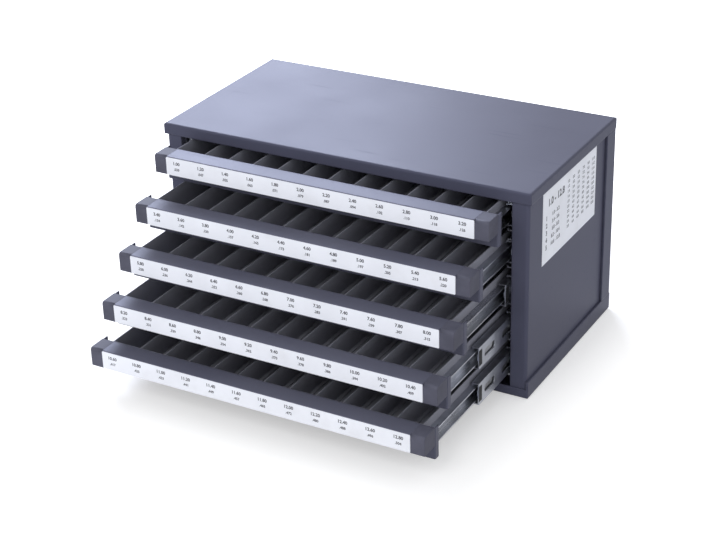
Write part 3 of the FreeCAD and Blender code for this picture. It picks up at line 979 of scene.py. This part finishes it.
@dataclass
class SlidePair(DrawerParts):
    """The telescopic slides of one drawer, with their cages, balls and bumpers."""

    ball_radius: float = 1.25 * MM
    ball_spacing: float = 7.0 * MM
    strip: float = 0.5 * MM
    fold_radius: float = 0.9 * MM
    fold_steps: int = 3
    inner_mouth: float = 172.2 * MM
    outer_mouth: float = 174.7 * MM
    bumper_length: float = 6.0 * MM
    bumper_proud: float = 0.3 * MM
    bumper_half: float = 8.0 * MM
    bumper_back: float = 1.3 * MM
    bumper_skin: float = 0.25 * MM
    bumper_edge: float = 0.1 * MM

    def build(self) -> None:
        """Dresses the channels and replaces the cages with detailed ones."""
        dress(self.named("mid_members"), self.finishes.slide)
        dress(self.named("drawer_members"), self.finishes.slide)
        for stage, mouth in (("inner", self.inner_mouth), ("outer", self.outer_mouth)):
            self.bend_cage(stage, mouth)
            self.set_balls(stage, mouth)
        self.make_bumpers()

    def reach(self, stage: str) -> float:
        """Gives how far above and below its middle a cage holds its balls."""
        low, high = self.box(f"{stage}_cages")
        return (high.z - low.z) / 2 - self.ball_radius

    def bend_cage(self, stage: str, mouth: float) -> None:
        """Bends both cages of a stage out of strip.

        Args:
            stage: The slide's stage, inner or outer.
            mouth: How far from the case's middle the strips begin, in metres.
        """
        low, high = self.box(f"{stage}_cages")
        middle, reach, web = (low.z + high.z) / 2, self.reach(stage), high.x - self.strip
        cage = bmesh.new()
        corners = [cage.verts.new((across, low.y, middle + level)) for across, level in (
            (mouth, reach), (web, reach), (web, -reach), (mouth, -reach))]
        bends = [cage.edges.new(pair) for pair in zip(corners, corners[1:])]
        grown = bmesh.ops.extrude_edge_only(cage, edges=bends)
        bmesh.ops.translate(cage, vec=(0, high.y - low.y, 0),
                            verts=picked(grown, bmesh.types.BMVert))
        folds = [edge for edge in cage.edges if len(edge.link_faces) == 2]
        round_edges(cage, folds, self.fold_radius, self.fold_steps)
        bmesh.ops.recalc_face_normals(cage, faces=cage.faces)
        bmesh.ops.solidify(cage, geom=cage.faces[:], thickness=self.strip)
        mirror_across(cage)
        bmesh.ops.recalc_face_normals(cage, faces=cage.faces)
        piece = finish_piece(cage, self.named(f"{stage}_cage_strip"),
                             self.named(f"{stage}_cage"), self.finishes.cage)
        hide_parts(self.named(f"{stage}_cages"))

    def set_balls(self, stage: str, mouth: float) -> None:
        """Sets two rows of balls in both cages of a stage.

        Args:
            stage: The slide's stage, inner or outer.
            mouth: How far from the case's middle the strips begin, in metres.
        """
        low, high = self.box(f"{stage}_cages")
        middle, reach, web = (low.z + high.z) / 2, self.reach(stage), high.x - self.strip
        balls = bmesh.new()
        count = int((high.y - low.y) / self.ball_spacing)
        margin = (high.y - low.y - (count - 1) * self.ball_spacing) / 2
        for step in range(count):
            along = low.y + margin + step * self.ball_spacing
            for level in (reach, -reach):
                place = Matrix.Translation(((mouth + web) / 2, along, middle + level))
                bmesh.ops.create_icosphere(balls, subdivisions=2, radius=self.ball_radius,
                                           matrix=place)
        for face in balls.faces:
            face.smooth = True
        mirror_across(balls)
        finish_piece(balls, self.named(f"{stage}_cage_balls"), self.named(f"{stage}_cage"),
                     self.finishes.ball)

    def make_bumpers(self) -> None:
        """Clips a plastic bumper over the front end of each middle channel."""
        low, high = self.box("mid_members")
        middle = (low.z + high.z) / 2
        web = high.x - self.bumper_back
        clip = block(
            Vector((web, low.y - self.bumper_proud, middle - self.bumper_half)),
            Vector((web + self.bumper_skin, low.y + self.bumper_length,
                    middle + self.bumper_half)),
            self.bumper_edge, 1)
        mirror_across(clip)
        finish_piece(clip, self.named("bumpers"), self.named("middle"),
                     self.finishes.bumper)


# The studio

@dataclass(frozen=True)
class SoftBox:
    """A soft lamp that is pointed at the object, with its power in watts."""

    name: str
    place: Triple
    target: Triple
    size: Span
    power: float
    colour: Colour = (0.97, 0.98, 1.0)

    def hang(self) -> None:
        """Hangs the lamp."""
        data = bpy.data.lights.new(self.name, "AREA")
        data.shape = "RECTANGLE"
        data.size, data.size_y = self.size
        data.energy = self.power
        data.color = self.colour
        lamp = show(self.name, data)
        lamp.location = self.place
        lamp.rotation_mode = "QUATERNION"
        aim = Vector(self.target) - Vector(self.place)
        lamp.rotation_quaternion = aim.to_track_quat("-Z", "Y")


@dataclass
class Studio:
    """The pale floor, the lamps and the camera."""

    camera_place: Triple = (0.7690, -1.4027, 0.8601)
    camera_back: Triple = (0.44583, -0.77222, 0.45274)
    camera_roll: float = math.radians(-1.787)
    lens: float = 87.13
    sensor: float = 36.0
    floor_half: float = 30.0
    floor_colour: Colour = (0.76, 0.745, 0.725)
    floor_roughness: float = 0.9
    # Painted shade: close to the stand the floor's glow stays low, and it rises to white over
    # the span below.
    painted_shade_glow: float = 0.40
    painted_shade_fade: Span = (0.01, 0.26)
    # Painted reflection: rays that mirror the floor see it glow brighter close to the stand.
    mirrored_glow: float = 0.08
    painted_reflection_glow: float = 0.38
    painted_reflection_reach: float = 0.10
    stand_middle: Triple = (0.0, -0.09, 0.0)
    stand_half: Triple = (0.20, 0.19, 0.0)
    sky_colour: Colour = (0.92, 0.95, 1.0)
    sky_strength: float = 0.70
    lamps: tuple[SoftBox, ...] = (
        SoftBox("key", (-1.10, 1.02, 1.06), (-0.05, -0.05, 0.2), (1.15, 0.75), 38.0,
                (0.76, 0.82, 1.0)),
        SoftBox("fill", (-0.1, -1.7, 1.5), (0.0, -0.15, 0.1), (0.9, 0.9), 13.0),
        SoftBox("front", (0.6, -2.6, 0.6), (0.0, -0.2, 0.1), (2.0, 1.0), 8.0),
        SoftBox("side", (2.3, -0.9, 0.7), (0.1, -0.1, 0.1), (1.4, 1.0), 2.5),
    )

    def build(self) -> None:
        """Sets the view, the floor, the world and the lamps."""
        bpy.context.scene.view_settings.view_transform = "Standard"
        self.make_camera()
        self.make_floor()
        self.make_world()
        for lamp in self.lamps:
            lamp.hang()

    def make_camera(self) -> None:
        """Places the camera where the case's edges in the photograph put it."""
        data = bpy.data.cameras.new("camera")
        data.sensor_width = self.sensor
        data.lens = self.lens
        camera = show("camera", data)
        back = Vector(self.camera_back).normalized()
        level = Vector((0, 0, 1)).cross(back).normalized()
        upright = back.cross(level)
        right = level * math.cos(self.camera_roll) + upright * math.sin(self.camera_roll)
        up = back.cross(right)
        turn = Matrix((right, up, back)).transposed().to_4x4()
        camera.matrix_world = Matrix.Translation(self.camera_place) @ turn
        bpy.context.scene.camera = camera

    def make_floor(self) -> None:
        """Lays a white floor that shows as white but keeps the shadow, with painted shade close
        to where the case stands and a painted pool of light there that only mirrored rays see.
        """
        mesh = bmesh.new()
        bmesh.ops.create_grid(mesh, x_segments=1, y_segments=1, size=self.floor_half)
        data = bpy.data.meshes.new("floor")
        mesh.to_mesh(data)
        mesh.free()
        shading = Shading("floor_white")
        shading.feed({"Base Color": self.floor_colour, "Roughness": self.floor_roughness,
                      "Specular IOR Level": 0.0})
        # This glow holds the painted shade and the painted reflection light near the stand.
        glow = shading.node("ShaderNodeEmission", {},
                            {"Color": (1.0, 1.0, 1.0), "Strength": self.glow(shading)})
        both = shading.node("ShaderNodeAddShader", {},
                            {0: shading.surface.outputs[0], 1: glow.outputs[0]})
        shading.connect(shading.output, {"Surface": both.outputs[0]})
        data.materials.append(shading.material)
        show("floor", data)

    def glow(self, shading: Shading) -> Field:
        """Brightens the floor to white away from the case for camera rays, leaving painted shade
        close to it; mirrored rays see a painted pool of light close to it.

        Args:
            shading: The floor's nodes.

        Returns:
            The strength of the floor's glow.
        """
        camera, mirrored = shading.rays()
        clear = self.clear_of_stand(shading)
        # Painted shade: the camera's glow is low close to the stand and rises to white away from
        # it.
        shade_lift = clear.over(*self.painted_shade_fade) * (1.0 - self.painted_shade_glow)
        # Painted reflection light: mirrored rays see a brighter glow close to the stand.
        close = 1.0 - clear.over(0.0, self.painted_reflection_reach)
        painted_reflection_light = close * (self.painted_reflection_glow - self.mirrored_glow)
        return camera * (self.painted_shade_glow + shade_lift) + mirrored * (self.mirrored_glow + painted_reflection_light)

    def clear_of_stand(self, shading: Shading) -> Field:
        """Measures how far a point of the floor is from where the case stands.

        Args:
            shading: The floor's nodes.

        Returns:
            The distance in metres.
        """
        place = shading.place
        for operation, inputs in (("SUBTRACT", {1: self.stand_middle}), ("ABSOLUTE", {}),
                                  ("SUBTRACT", {1: self.stand_half}),
                                  ("MAXIMUM", {1: (0.0, 0.0, 0.0)})):
            place = shading.node("ShaderNodeVectorMath", {"operation": operation},
                                 {0: place, **inputs}).outputs["Vector"]
        length = shading.node("ShaderNodeVectorMath", {"operation": "LENGTH"}, {0: place})
        return Field(shading, length.outputs["Value"])

    def make_world(self) -> None:
        """Lights the object with an even pale sky that looks white to the camera."""
        world = bpy.data.worlds.new("studio")
        world.use_nodes = True
        bpy.context.scene.world = world
        nodes = Nodes(world.node_tree)
        light = nodes.node("ShaderNodeBackground", {},
                           {"Color": self.sky_colour, "Strength": self.sky_strength})
        white = nodes.node("ShaderNodeBackground", {}, {"Color": (1.0, 1.0, 1.0)})
        camera, mirrored = nodes.rays()
        mix = nodes.node("ShaderNodeMixShader", {}, {
            0: camera + mirrored, 1: light.outputs[0], 2: white.outputs[0]})
        nodes.node("ShaderNodeOutputWorld", {}, {"Surface": mix.outputs[0]})


def main() -> None:
    """Builds the studio, the case and its drawers in order."""
    logging.basicConfig(level=logging.INFO)
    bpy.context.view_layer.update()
    Studio().build()
    finishes = Finishes()
    CaseShell(finishes).build()
    for number in DRAWERS:
        Drawer(number, finishes).build()
        SlidePair(number, finishes).build()


if __name__ == "__main__":
    main()
